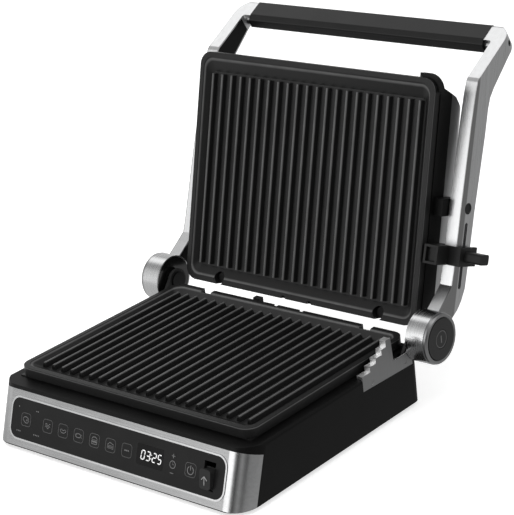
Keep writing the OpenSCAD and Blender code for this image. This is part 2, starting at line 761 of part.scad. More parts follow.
// a raised lip that guards the plate's corner on the rack's side
module corner_guard() translate([0, -(up_s0 + up_s1) / 2, pan_n0 - 4.5]) difference() {
    linear_extrude(7) intersection() {
        round_rect(plate_w + 7, upper_d + 8.6, plate_r + 4);
        translate([plate_w / 2 - 21, -upper_d / 2 - 5]) square([26, 17]);
    }
    translate([0, 0, -1]) linear_extrude(5.7) round_rect(plate_w + 0.6, upper_d + 0.6, plate_r);
}

module pan_frame() color("#1d1d1e") on_lid() difference() {
    union() {
        difference() {
            pan_block(0, pan_n0, pan_n1);
            pan_block(2.4, pan_n0 - 1, pan_n1 + 1);
        }
        for (x = [-1, 1]) translate([x * notch_x, -up_s0 - 6.1, pan_n0 - 3]) cylinder(h = pan_deep - 4, r = 5.4);
        corner_guard();
        for (x = [-1, 1]) translate([x * (pan_hw + boss_l / 2), -pivot_s, pivot_n]) rotate([0, 90, 0]) {
            cylinder(h = boss_l, r = lug_r, center = true);
            translate([0, -lug_r, -boss_l / 2]) cube([pivot_n - pan_n0 - 5, 2 * lug_r, boss_l]);
            translate([pivot_n - pan_n1 + 1, -lug_r, -boss_l / 2 - (x > 0 ? 1 : 0)])
                cube([pan_n1 - pan_n0 - 6, 2 * lug_r, boss_l + 1]);
        }
    }
    translate([0, -pivot_s, pivot_n]) rod_x(-400, 400, pivot_r);
    pan_block(0, pan_n1, pan_n2 + 1);
}

module pan_cover() color("#b4b5b7") on_lid() difference() {
    pan_block(0, pan_n1, pan_n2);
    pan_block(cover_t, pan_n1 - 1, pan_n2);
    for (x = [-1, 1]) translate([x * pan_hw, -pivot_s, pivot_n]) rotate([0, 90, 0])
        cylinder(h = 12, r = pivot_r + 2.3, center = true);
}

module upper_element() color("#5b5552") on_lid() translate([0, -up_s1 + 34, pan_n0 + 6])
    heater(2 * pan_hw - 64, upper_d - 62, 3.3);

module upper_plate() color("#1c1c1d") on_lid() translate([0, -up_s0, plate_gap]) mirror([0, 0, 1])
    mirror([0, 1, 0]) difference() {
        grill_plate(upper_d, 18.2, upper_d - 39.6, up_foot);
        for (x = [-notch_x, notch_x]) translate([x, 6.1, -20]) cylinder(h = 40, r = 6.6);
        for (x = [-15, 18]) translate([x - 2.5, -17, -2.4]) cube([5, 20, 20]);
    }

module pivot_pin_solid() translate([0, -pivot_s, pivot_n]) {
    rod_x(pan_hw - 1, arm_x1 + 0.6, pivot_r);
    rod_x(pan_hw - 2.6, pan_hw, pivot_r + 2);
}

module pivot_pin_right() color("#202021") on_lid() pivot_pin_solid();

module pivot_pin_left() color("#202021") on_lid() left_of() pivot_pin_solid();

// ---------- clip ----------

module on_arm() translate([0, -clip_s, pivot_n + (clip_s - pivot_s) * arm_tan])
    rotate([-atan(arm_tan), 0, 0]) children();

module clip_body() color("#242425") on_lid() on_arm() {
    low = clip_n0 - pivot_n - (clip_s - pivot_s) * arm_tan;
    face = arm_front(clip_s) - pivot_n - (clip_s - pivot_s) * arm_tan - 0.5;
    top = arm_deep / 2 + 1.2;
    difference() {
        union() {
            translate([clip_x0, -clip_l / 2, low]) cube([15.5, clip_l, face - low]);
            translate([clip_x0, -clip_l / 2, face - 2.6]) cube([clip_out - clip_x0, clip_l, 2.6]);
            translate([clip_x1, -clip_l / 2, face - 2.6]) cube([clip_out - clip_x1, clip_l, top - face + 2.6]);
            translate([clip_x0, -clip_l / 2, face - 1]) cube([arm_x0 - 1.4 - clip_x0, clip_l, 9]);
            rod_x(arm_x1 - 4.6, clip_x1 + 1, stud_r);
        }
        translate([clip_x0 + 2.4, -clip_l / 2 + 2.2, low - 1]) cube([10.7, clip_l - 4.4, 5]);
    }
}

module clip_tab() color("#1e1e1f") on_lid() on_arm() difference() {
    translate([clip_out, 0, -1]) rotate([90, 0, 90]) linear_extrude(tab_l) round_rect(10, 14, 2.5);
    for (k = [0:3]) translate([clip_out + 4 + k * 3.6, -6, 5.3]) cube([1.4, 12, 2]);
}

// ---------- pieces ----------

base_shell();
bottom_cover();
front_fascia();
panel_frame();
touch_panel();
display_window();
program_pads();
timer_pads();
power_pad();
control_board();
release_slider();
lower_pan();
lower_element();
lower_plate();
rack();
hinge_bracket_left();
hinge_bracket_right();
hinge_pin_left();
hinge_pin_right();
cable_sleeve();
feet();
base_screws();
cord_gland();
drum_left();
drum_right();
drum_ring_left();
drum_ring_right();
drum_disc_left();
drum_disc_right();
inner_cap_left();
inner_cap_right();
hinge_button();
arm_left();
arm_right();
arm_liner_left();
arm_liner_right();
handle_grip();
handle_rod();
arm_screw_caps();
pan_frame();
pan_cover();
upper_element();
upper_plate();
pivot_pin_left();
pivot_pin_right();
clip_body();
clip_tab();
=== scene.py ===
"""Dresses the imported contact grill: finishes, printed marks, studio light and camera.

Everything is in metres, in the frame of the construction model.
"""

from __future__ import annotations

import logging
import math
from dataclasses import dataclass, field
from enum import Enum
from typing import Callable, Sequence

import bmesh
import bpy
from mathutils import Matrix, Quaternion, Vector


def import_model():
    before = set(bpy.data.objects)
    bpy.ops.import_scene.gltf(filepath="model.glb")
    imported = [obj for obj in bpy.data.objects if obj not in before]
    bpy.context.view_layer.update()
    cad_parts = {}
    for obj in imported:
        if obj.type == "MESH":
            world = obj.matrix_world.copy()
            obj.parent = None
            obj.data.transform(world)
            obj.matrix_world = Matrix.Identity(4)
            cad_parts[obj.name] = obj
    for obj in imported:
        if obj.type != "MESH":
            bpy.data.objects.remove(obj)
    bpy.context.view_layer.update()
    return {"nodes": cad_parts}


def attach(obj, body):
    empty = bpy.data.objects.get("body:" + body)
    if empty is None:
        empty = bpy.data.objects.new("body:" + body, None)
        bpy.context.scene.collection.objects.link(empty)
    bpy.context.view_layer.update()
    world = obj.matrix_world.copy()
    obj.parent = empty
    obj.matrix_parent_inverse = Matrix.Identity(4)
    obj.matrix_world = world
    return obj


LOG = logging.getLogger("grill")
MM = 0.001
Point = tuple[float, float]
Triple = tuple[float, float, float]
Socket = bpy.types.NodeSocket

# the part of a noise's range that holds most of its values, for fine grain and for clouds
MIDDLE = (0.3, 0.7)
CLOUDY = (0.35, 0.65)


class Grain(Enum):
    """Direction of a brushed grain; the value is the turn of its frame, whose Z runs along the grain."""

    ACROSS = (0.0, math.radians(90), 0.0)
    ALONG_LID = (math.radians(-15.78), 0.0, 0.0)
    UPRIGHT = (0.0, 0.0, 0.0)


class Side(Enum):
    """Which arm of the bail; the value is the sign of X."""

    LEFT = -1
    RIGHT = 1


# ---------------------------------------------------------------- finishes


class Graph:
    """A hand on the node tree of one new material."""

    def __init__(self, name: str) -> None:
        """Starts a material that holds one Principled shader.

        Args:
            name: Name of the material.
        """
        self.material = bpy.data.materials.new(name)
        self.material.use_nodes = True
        self.tree = self.material.node_tree
        self.shader = self.tree.nodes["Principled BSDF"]

    def add(self, kind: str, **settings: object) -> bpy.types.Node:
        """Adds a node and sets its properties.

        Args:
            kind: Blender's node type.
            settings: Property names and values.

        Returns:
            The new node.
        """
        node = self.tree.nodes.new(kind)
        for key, value in settings.items():
            setattr(node, key, value)
        return node

    def join(self, out: Socket, into: Socket) -> None:
        """Links two sockets."""
        self.tree.links.new(out, into)

    def grain(self, size: Triple, turn: Triple = (0, 0, 0), centre: Triple = (0, 0, 0)) -> Socket:
        """Object coordinates counted in grains.

        Args:
            size: Size of one grain along its own axes, in metres.
            turn: Turn of the grain's axes.
            centre: Point that becomes zero.

        Returns:
            The vector socket.
        """
        coords = self.add("ShaderNodeTexCoord")
        mapping = self.add("ShaderNodeMapping", vector_type="TEXTURE")
        mapping.inputs["Location"].default_value = centre
        mapping.inputs["Rotation"].default_value = turn
        mapping.inputs["Scale"].default_value = size
        self.join(coords.outputs["Object"], mapping.inputs["Vector"])
        return mapping.outputs["Vector"]

    def noise(self, vector: Socket, detail: float = 3.0, rough: float = 0.5) -> Socket:
        """Cloud noise over a vector, from 0 to 1."""
        node = self.add("ShaderNodeTexNoise")
        node.inputs["Scale"].default_value = 1.0
        node.inputs["Detail"].default_value = detail
        node.inputs["Roughness"].default_value = rough
        self.join(vector, node.inputs["Vector"])
        return node.outputs["Fac"]

    def span(self, value: Socket, low: float, high: float, out_low: float, out_high: float) -> Socket:
        """Maps low..high to out_low..out_high, clamped."""
        node = self.add("ShaderNodeMapRange")
        for name, number in zip(("From Min", "From Max", "To Min", "To Max"), (low, high, out_low, out_high)):
            node.inputs[name].default_value = number
        self.join(value, node.inputs["Value"])
        return node.outputs["Result"]

    def spread(self, value: Socket) -> Socket:
        """Spreads a noise's middle values over 0 to 1."""
        return self.span(value, *MIDDLE, 0, 1)

    def roughen(self, fine: Socket, cloud: Socket, level: float, swing: Point, drift: float) -> None:
        """Sets a roughness that swings with the fine grain and drifts with the clouds.

        Args:
            fine: Fine noise.
            cloud: Wide noise.
            level: Least roughness before the swing.
            swing: What the fine noise takes off and adds.
            drift: What the clouds add at most.
        """
        detail = self.span(fine, *MIDDLE, *swing)
        base = self.span(cloud, *CLOUDY, level, level + drift)
        self.join(self.maths("ADD", detail, base), self.shader.inputs["Roughness"])

    def mix(self, factor: Socket, first: Triple | Socket, second: Triple | Socket) -> Socket:
        """Mixes two colours by a factor.

        Args:
            factor: 0 gives the first colour, 1 the second.
            first: A colour or a colour socket.
            second: A colour or a colour socket.

        Returns:
            The colour socket.
        """
        node = self.add("ShaderNodeMix", data_type="RGBA")
        self.join(factor, node.inputs[0])
        for value, socket in ((first, node.inputs[6]), (second, node.inputs[7])):
            if isinstance(value, Socket):
                self.join(value, socket)
            else:
                socket.default_value = (*value, 1.0)
        return node.outputs[2]

    def maths(self, kind: str, first: Socket, second: Socket | float = 0.0) -> Socket:
        """One Math node."""
        node = self.add("ShaderNodeMath", operation=kind)
        self.join(first, node.inputs[0])
        if isinstance(second, Socket):
            self.join(second, node.inputs[1])
        else:
            node.inputs[1].default_value = second
        return node.outputs[0]

    def measure(self, direction: Triple, start: Triple = (0, 0, 0)) -> Socket:
        """Distance along a direction from a start point, in metres, read on Object coordinates."""
        coords = self.add("ShaderNodeTexCoord")
        shift = self.add("ShaderNodeVectorMath", operation="SUBTRACT")
        shift.inputs[1].default_value = start
        self.join(coords.outputs["Object"], shift.inputs[0])
        dot = self.add("ShaderNodeVectorMath", operation="DOT_PRODUCT")
        dot.inputs[1].default_value = direction
        self.join(shift.outputs["Vector"], dot.inputs[0])
        return dot.outputs["Value"]

    def bump(self, height: Socket, strength: float, distance: float) -> None:
        """Raises the surface by a height socket."""
        node = self.add("ShaderNodeBump")
        node.inputs["Strength"].default_value = strength
        node.inputs["Distance"].default_value = distance
        self.join(height, node.inputs["Height"])
        self.join(node.outputs["Normal"], self.shader.inputs["Normal"])

    def fixed(self, **values: float) -> None:
        """Sets constant values on the shader's own sockets."""
        for name, value in values.items():
            self.shader.inputs[name.replace("_", " ")].default_value = value


def grey(tone: float, warm: float = 0.0) -> Triple:
    """A neutral colour with a little warmth.

    Args:
        tone: Linear brightness.
        warm: Share by which red gains and blue loses.

    Returns:
        The colour.
    """
    return (tone * (1 + warm), tone, tone * (1 - warm))


@dataclass(frozen=True)
class BrushedMetal:
    """Steel or aluminium with a straight fine grain, and when asked a painted highlight on faces that don't look
    left or right.
    """

    name: str
    tone: float = 0.5
    roughness: float = 0.3
    grain: Grain = Grain.ACROSS
    streak: float = 0.12
    # tone of a painted highlight on treads and risers; 0 leaves it out
    tread_highlight_tone: float = 0.0

    def make(self) -> bpy.types.Material:
        """Builds the material."""
        g = Graph(self.name)
        fine = g.noise(g.grain((0.00035, 0.00035, 0.03), self.grain.value), 4.0, 0.6)
        wide = g.noise(g.grain((0.003, 0.003, 0.09), self.grain.value), 2.0)
        cloud = g.noise(g.grain((0.05, 0.05, 0.05)), 2.0)
        blend = g.maths("ADD", g.maths("MULTIPLY", fine, 0.7), g.maths("MULTIPLY", wide, 0.3))
        low, high = self.tone * (1 - self.streak), self.tone * (1 + self.streak)
        colour = g.mix(g.spread(blend), grey(low), grey(high, -0.01))
        if self.tread_highlight_tone:
            # painted highlight: treads and risers are painted brighter than the faces that look left and right
            split = g.add("ShaderNodeSeparateXYZ")
            g.join(g.add("ShaderNodeTexCoord").outputs["Normal"], split.inputs[0])
            sideways = g.maths("ABSOLUTE", split.outputs["X"])
            colour = g.mix(g.span(sideways, 0.5, 0.7, 1, 0), colour, grey(self.tread_highlight_tone))
        g.join(colour, g.shader.inputs["Base Color"])
        g.fixed(Metallic=1.0)
        g.roughen(fine, cloud, self.roughness, (-0.05, 0.05), 0.05)
        g.bump(fine, 0.12, 0.00006)
        return g.material


@dataclass(frozen=True)
class ArmMetal:
    """Brushed arm steel, bright where it faces front, with painted shade on its outer side and along that side's
    front edge.
    """

    name: str
    side: Side
    tone: float = 0.72
    # the darker tones of the outer side and of its front edge are painted shade
    shaded_side_tone: float = 0.62
    edge_shade_tone: float = 0.3
    roughness: float = 0.3

    def make(self) -> bpy.types.Material:
        """Builds the material."""
        g = Graph(self.name)
        turn = Grain.ALONG_LID.value
        fine = g.noise(g.grain((0.0004, 0.0004, 0.035), turn), 4.0, 0.6)
        wide = g.noise(g.grain((0.004, 0.004, 0.12), turn), 2.0)
        blend = g.maths("ADD", g.maths("MULTIPLY", fine, 0.6), g.maths("MULTIPLY", wide, 0.4))
        # the outer face leans by the splay of the arms and rolls over at the bail's corner
        sign = self.side.value
        rise = g.measure(Arms.rise, Arms.bend_at)
        out = g.measure((sign, 0.0, 0.0), (sign * Arms.corner_x + Arms.shift_x, 0.0, 0.0))
        out = g.maths("ADD", out, g.maths("MULTIPLY", g.maths("MINIMUM", rise, 0.0), Arms.splay))
        over = g.maths("MAXIMUM", g.maths("SUBTRACT", rise, Arms.corner_u), 0.0)
        out = g.maths("MAXIMUM", out, 0.0)
        reach = g.maths("SQRT", g.maths("ADD", g.maths("POWER", out, 2.0), g.maths("POWER", over, 2.0)))
        on_side = g.span(reach, Arms.corner_r - 0.0010, Arms.corner_r - 0.0005, 0, 1)
        # painted shade: a dark band along the front edge of the outer face, a quarter as strong from near the
        # bend on
        edge_shade_mask = g.span(g.measure(Arms.front, Arms.edge_at), Arms.edge_w - 0.0004, Arms.edge_w + 0.0004, 1, 0)
        edge_shade_mask = g.maths("MULTIPLY", edge_shade_mask, g.span(rise, -0.016, -0.007, 1, 0.25))
        body = g.mix(g.spread(blend), grey(self.tone * 0.9), grey(self.tone * 1.08, -0.01))
        # painted shade: the outer face gets a darker tone than the front face
        side = g.mix(g.spread(blend), grey(self.shaded_side_tone * 0.88), grey(self.shaded_side_tone * 1.12, -0.01))
        side = g.mix(edge_shade_mask, side, grey(self.edge_shade_tone))
        g.join(g.mix(on_side, body, side), g.shader.inputs["Base Color"])
        g.fixed(Metallic=1.0)
        rough = g.span(fine, *MIDDLE, self.roughness - 0.04, self.roughness + 0.07)
        g.join(rough, g.shader.inputs["Roughness"])
        g.bump(fine, 0.12, 0.00006)
        return g.material


@dataclass(frozen=True)
class TurnedMetal:
    """Metal turned on a lathe about the hinge axis, with fine rings."""

    name: str
    tone: float = 0.6
    roughness: float = 0.26
    centre: Triple = (-0.0072, 0.0474, 0.06757)
    groove: float = 0.00028

    def make(self) -> bpy.types.Material:
        """Builds the material."""
        g = Graph(self.name)
        split = g.add("ShaderNodeSeparateXYZ")
        g.join(g.grain((1, 1, 1), centre=self.centre), split.inputs[0])
        squares = [g.maths("POWER", split.outputs[axis], 2.0) for axis in "YZ"]
        radius = g.maths("SQRT", g.maths("ADD", *squares))
        joined = g.add("ShaderNodeCombineXYZ")
        g.join(g.maths("DIVIDE", split.outputs["X"], self.groove), joined.inputs[0])
        g.join(g.maths("DIVIDE", radius, self.groove), joined.inputs[1])
        rings = g.noise(joined.outputs[0], 3.0, 0.6)
        cloud = g.noise(g.grain((0.02, 0.006, 0.006)), 2.0)
        low, high = self.tone * 0.88, self.tone * 1.1
        colour = g.mix(g.spread(rings), grey(low), grey(high, -0.01))
        g.join(colour, g.shader.inputs["Base Color"])
        g.fixed(Metallic=1.0)
        g.roughen(rings, cloud, self.roughness, (-0.04, 0.05), 0.04)
        g.bump(rings, 0.15, 0.00006)
        return g.material


@dataclass(frozen=True)
class Moulded:
    """Moulded plastic, rubber or paint with a fine skin and slightly cloudy tone."""

    name: str
    tone: float = 0.01
    roughness: float = 0.4
    shine: float = 0.3
    skin: float = 0.0004
    relief: float = 0.25
    coat: float = 0.0

    def make(self) -> bpy.types.Material:
        """Builds the material."""
        g = Graph(self.name)
        skin = g.noise(g.grain((self.skin,) * 3), 3.0, 0.6)
        cloud = g.noise(g.grain((0.03, 0.03, 0.03)), 3.0)
        low, high = self.tone * 0.88, self.tone * 1.14
        colour = g.mix(g.spread(cloud), grey(low), grey(high))
        g.join(colour, g.shader.inputs["Base Color"])
        g.roughen(skin, cloud, self.roughness, (-0.03, 0.04), 0.05)
        g.fixed(Specular_IOR_Level=self.shine, Coat_Weight=self.coat, Coat_Roughness=0.12)
        g.bump(skin, self.relief, 0.00005)
        return g.material


@dataclass(frozen=True)
class NonStick:
    """Dark non-stick coating with fine speckle and soft sheen, and a painted highlight on the rib crowns."""

    name: str
    crown_axis: Triple
    crown_start: Triple
    tone: float = 0.008
    # tone of the painted highlight on the rib crowns
    crown_highlight_tone: float = 0.1
    roughness: float = 0.36
    shine: float = 0.25

    def make(self) -> bpy.types.Material:
        """Builds the material."""
        g = Graph(self.name)
        speck = g.noise(g.grain((0.00045,) * 3), 2.0, 0.7)
        cloud = g.noise(g.grain((0.02,) * 3), 3.0)
        height = g.measure(self.crown_axis, self.crown_start)
        # the plate's rim stands above the rib crowns and gets no painted highlight
        near_top = g.span(height, -0.0009, -0.0001, 0, 1)
        below_rim = g.span(height, 0.0003, 0.0006, 1, 0)
        crown = g.maths("MULTIPLY", near_top, below_rim)
        # painted highlight on the rib crowns, made a little uneven by the clouds
        crown_highlight = g.maths("MULTIPLY", crown, g.span(cloud, 0.35, 0.65, 0.75, 1.0))
        coat = g.mix(g.span(speck, 0.42, 0.72, 0, 1), grey(self.tone), grey(self.tone * 2.0))
        g.join(g.mix(crown_highlight, coat, grey(self.crown_highlight_tone)), g.shader.inputs["Base Color"])
        rough = g.span(speck, *MIDDLE, self.roughness - 0.05, self.roughness + 0.08)
        g.join(rough, g.shader.inputs["Roughness"])
        g.fixed(Specular_IOR_Level=self.shine)
        g.bump(speck, 0.3, 0.00007)
        return g.material


@dataclass(frozen=True)
class HeatedTube:
    """Oxidised tube of a heating element, with straw and blue heat tints."""

    name: str = "heated_tube"

    def make(self) -> bpy.types.Material:
        """Builds the material."""
        g = Graph(self.name)
        cloud = g.noise(g.grain((0.02,) * 3), 4.0, 0.6)
        fine = g.noise(g.grain((0.0006,) * 3), 3.0)
        straw, blue = (0.16, 0.13, 0.10), (0.09, 0.10, 0.13)
        g.join(g.mix(g.span(cloud, *CLOUDY, 0, 1), straw, blue), g.shader.inputs["Base Color"])
        g.fixed(Metallic=0.8)
        g.join(g.span(fine, 0.3, 0.7, 0.42, 0.6), g.shader.inputs["Roughness"])
        g.bump(fine, 0.3, 0.00008)
        return g.material


@dataclass(frozen=True)
class CircuitBoard:
    """Green board with fine copper tracks under its mask."""

    name: str = "circuit_board"

    def make(self) -> bpy.types.Material:
        """Builds the material."""
        g = Graph(self.name)
        brick = g.add("ShaderNodeTexBrick")
        brick.inputs["Scale"].default_value = 1.0
        brick.inputs["Mortar Size"].default_value = 0.04
        brick.inputs["Color1"].default_value = (0.012, 0.09, 0.04, 1)
        brick.inputs["Color2"].default_value = (0.015, 0.11, 0.05, 1)
        brick.inputs["Mortar"].default_value = (0.05, 0.2, 0.09, 1)
        g.join(g.grain((0.004, 0.002, 0.002), (math.radians(70), 0, 0)), brick.inputs["Vector"])
        g.join(brick.outputs["Color"], g.shader.inputs["Base Color"])
        cloud = g.noise(g.grain((0.01,) * 3), 2.0)
        g.join(g.span(cloud, 0.3, 0.7, 0.25, 0.4), g.shader.inputs["Roughness"])
        g.bump(brick.outputs["Fac"], 0.2, 0.00005)
        return g.material


@dataclass(frozen=True)
class Ink:
    """Printed or lit marks."""

    name: str
    tone: float
    glow: float = 0.0

    def make(self) -> bpy.types.Material:
        """Builds the material."""
        g = Graph(self.name)
        grainy = g.noise(g.grain((0.0003,) * 3), 2.0)
        colour = g.mix(g.spread(grainy), grey(self.tone * 0.94), grey(self.tone * 1.05))
        g.join(colour, g.shader.inputs["Base Color"])
        g.join(g.span(grainy, 0.3, 0.7, 0.45, 0.6), g.shader.inputs["Roughness"])
        g.fixed(Specular_IOR_Level=0.2, Emission_Strength=self.glow)
        if self.glow:
            g.join(colour, g.shader.inputs["Emission Color"])
        g.bump(grainy, 0.1, 0.00003)
        return g.material


# ---------------------------------------------------------------- bench tools


class Bench:
    """Short ways to Blender's modelling operators, with everything else deselected first."""

    @staticmethod
    def clear() -> None:
        """Leaves edit mode and deselects everything."""
        if bpy.context.object and bpy.context.object.mode != "OBJECT":
            bpy.ops.object.mode_set(mode="OBJECT")
        bpy.ops.object.select_all(action="DESELECT")

    @staticmethod
    def pick(obj: bpy.types.Object) -> None:
        """Selects one object and makes it active."""
        Bench.clear()
        obj.select_set(True)
        bpy.context.view_layer.objects.active = obj

    @staticmethod
    def edit(obj: bpy.types.Object, test: Callable[[bmesh.types.BMFace], bool] | None = None) -> None:
        """Opens an object in face mode with the faces that pass a test selected, or all of them.

        Args:
            obj: The object.
            test: Says whether a face is selected.
        """
        Bench.pick(obj)
        bpy.ops.object.mode_set(mode="EDIT")
        bpy.ops.mesh.select_mode(type="FACE")
        bpy.ops.mesh.select_all(action="SELECT" if test is None else "DESELECT")
        if test is not None:
            mesh = bmesh.from_edit_mesh(obj.data)
            for face in mesh.faces:
                if test(face):
                    face.select_set(True)
            bmesh.update_edit_mesh(obj.data)

    @staticmethod
    def raise_flat(obj: bpy.types.Object, thickness: float) -> None:
        """Gives a flat shape a thickness upward and points its faces outward.

        Args:
            obj: The flat mesh.
            thickness: Height in the object's own units.
        """
        Bench.edit(obj)
        bpy.ops.mesh.extrude_region_move(TRANSFORM_OT_translate={"value": (0, 0, thickness)})
        bpy.ops.mesh.select_all(action="SELECT")
        bpy.ops.mesh.normals_make_consistent(inside=False)
        Bench.clear()

    @staticmethod
    def settle(
        obj: bpy.types.Object,
        name: str,
        place: Matrix,
        body: str,
        finish: bpy.types.Material,
        slot: str | None = None,
    ) -> bpy.types.Object:
        """Puts a finished piece at its place, with its place in its mesh, and lets it ride on a body.

        Args:
            obj: The piece, drawn in its own frame.
            name: Name of the piece.
            place: Matrix from that frame to the grill's.
            body: Body that carries it.
            finish: Its material.
            slot: Not used.

        Returns:
            The piece.
        """
        Bench.clear()
        obj.name = obj.data.name = name
        obj.data.transform(place @ obj.matrix_world)
        obj.matrix_world = Matrix.Identity(4)
        obj.data.materials.clear()
        obj.data.materials.append(finish)
        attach(obj, body)
        LOG.info("%s rides on %s, %d faces", name, body, len(obj.data.polygons))
        return obj

    @staticmethod
    def weld(parts: Sequence[bpy.types.Object]) -> bpy.types.Object:
        """Joins several objects into the first one."""
        Bench.clear()
        for part in parts:
            part.select_set(True)
        bpy.context.view_layer.objects.active = parts[0]
        if len(parts) > 1:
            bpy.ops.object.join()
        joined = bpy.context.view_layer.objects.active
        bpy.ops.object.transform_apply(location=True, rotation=True, scale=True)
        Bench.clear()
        return joined


class Pen:
    """Draws flat marks in millimetres on the plane z = 0, one thin solid each."""

    def __init__(self, thickness: float = 0.12) -> None:
        """Starts a sheet of marks.

        Args:
            thickness: How far the print stands up.
        """
        self.thickness = thickness
        self.parts: list[bpy.types.Object] = []

    def disc(self, x: float, y: float, r: float, corners: int = 16) -> None:
        """A filled circle."""
        Bench.clear()
        bpy.ops.mesh.primitive_circle_add(vertices=corners, radius=1, fill_type="NGON", location=(x, y, 0))
        disc = bpy.context.object
        disc.scale = (r, r, 1)
        bpy.ops.object.transform_apply(location=True, rotation=True, scale=True)
        Bench.raise_flat(disc, self.thickness)
        self.parts.append(disc)

    def bar(self, x: float, y: float, w: float, h: float, turn: float = 0.0, cut: float = 0.0) -> None:
        """A filled rectangle, its corners cut back by a length."""
        Bench.clear()
        bpy.ops.mesh.primitive_plane_add(size=1, location=(0, 0, 0))
        bar = bpy.context.object
        bar.scale = (w, h, 1)
        bpy.ops.object.transform_apply(location=True, rotation=True, scale=True)
        if cut:
            Bench.edit(bar)
            bpy.ops.mesh.bevel(affect="VERTICES", offset=cut, segments=1)
            Bench.clear()
        bar.location = (x, y, 0)
        bar.rotation_euler = (0, 0, turn)
        Bench.pick(bar)
        bpy.ops.object.transform_apply(location=True, rotation=True, scale=True)
        Bench.raise_flat(bar, self.thickness)
        self.parts.append(bar)

    def ring(self, x: float, y: float, r: float, w: float, gap: float = 0.0, corners: int = 24) -> None:
        """A ring, open at its top by a gap angle in degrees."""
        Bench.clear()
        bpy.ops.mesh.primitive_circle_add(vertices=corners, radius=r, fill_type="NGON", location=(x, y, 0))
        ring = bpy.context.object
        bpy.ops.object.transform_apply(location=True, rotation=True, scale=True)
        Bench.edit(ring)
        bpy.ops.mesh.inset(thickness=w)
        bpy.ops.mesh.delete(type="FACE")
        if gap:
            limit = math.cos(math.radians(gap / 2))
            Bench.clear()
            Bench.edit(ring, lambda f: (f.calc_center_median() - Vector((x, y, 0))).normalized().y > limit)
            bpy.ops.mesh.delete(type="FACE")
        Bench.raise_flat(ring, self.thickness)
        self.parts.append(ring)

    def line(self, points: Sequence[Point], width: float = 0.5, closed: bool = False) -> None:
        """A line of round section pressed flat, drawn through points.

        Args:
            points: The corners of the line.
            width: Its width.
            closed: Whether it ends where it began.
        """
        Bench.clear()
        bpy.ops.mesh.primitive_plane_add(size=0.1, location=(*points[0], 0))
        wire = bpy.context.object
        bpy.ops.object.mode_set(mode="EDIT")
        bpy.ops.mesh.select_mode(type="VERT")
        bpy.ops.mesh.select_all(action="SELECT")
        bpy.ops.mesh.merge(type="CENTER")
        for before, after in zip(points, points[1:]):
            step = (after[0] - before[0], after[1] - before[1], 0)
            bpy.ops.mesh.extrude_vertices_move(TRANSFORM_OT_translate={"value": step})
        if closed:
            mesh = bmesh.from_edit_mesh(wire.data)
            for vertex in mesh.verts:
                vertex.select_set(len(vertex.link_edges) == 1)
            bmesh.update_edit_mesh(wire.data)
            bpy.ops.mesh.edge_face_add()
        Bench.pick(wire)
        bpy.ops.object.convert(target="CURVE")
        wire = bpy.context.object
        wire.data.bevel_depth = width / 2
        wire.data.bevel_resolution = 1
        wire.data.use_fill_caps = True
        bpy.ops.object.convert(target="MESH")
        wire = bpy.context.object
        wire.scale = (1, 1, 2 * self.thickness / width)
        bpy.ops.object.transform_apply(location=True, rotation=True, scale=True)
        Bench.edit(wire)
        bpy.ops.mesh.normals_make_consistent(inside=False)
        Bench.clear()
        self.parts.append(wire)

    def finish(
        self, name: str, place: Matrix, body: str, finish: bpy.types.Material, slot: str | None = None
    ) -> bpy.types.Object:
        """Joins all marks and settles them as one piece."""
        return Bench.settle(Bench.weld(self.parts), name, place, body, finish, slot)


def arc(x: float, y: float, rx: float, ry: float, start: float, end: float, steps: int = 8) -> list[Point]:
    """Points on an ellipse from one angle to another, in degrees."""
    angles = [math.radians(start + (end - start) * i / steps) for i in range(steps + 1)]
    return [(x + rx * math.cos(a), y + ry * math.sin(a)) for a in angles]


def rounded(x: float, y: float, w: float, h: float, r: float, steps: int = 3) -> list[Point]:
    """Corners of a rounded rectangle round a middle point."""
    path: list[Point] = []
    for sx, sy, start in ((1, 1, 0), (-1, 1, 90), (-1, -1, 180), (1, -1, 270)):
        path += arc(x + sx * (w / 2 - r), y + sy * (h / 2 - r), r, r, start, start + 90, steps)
    return path


# ---------------------------------------------------------------- sub-assemblies


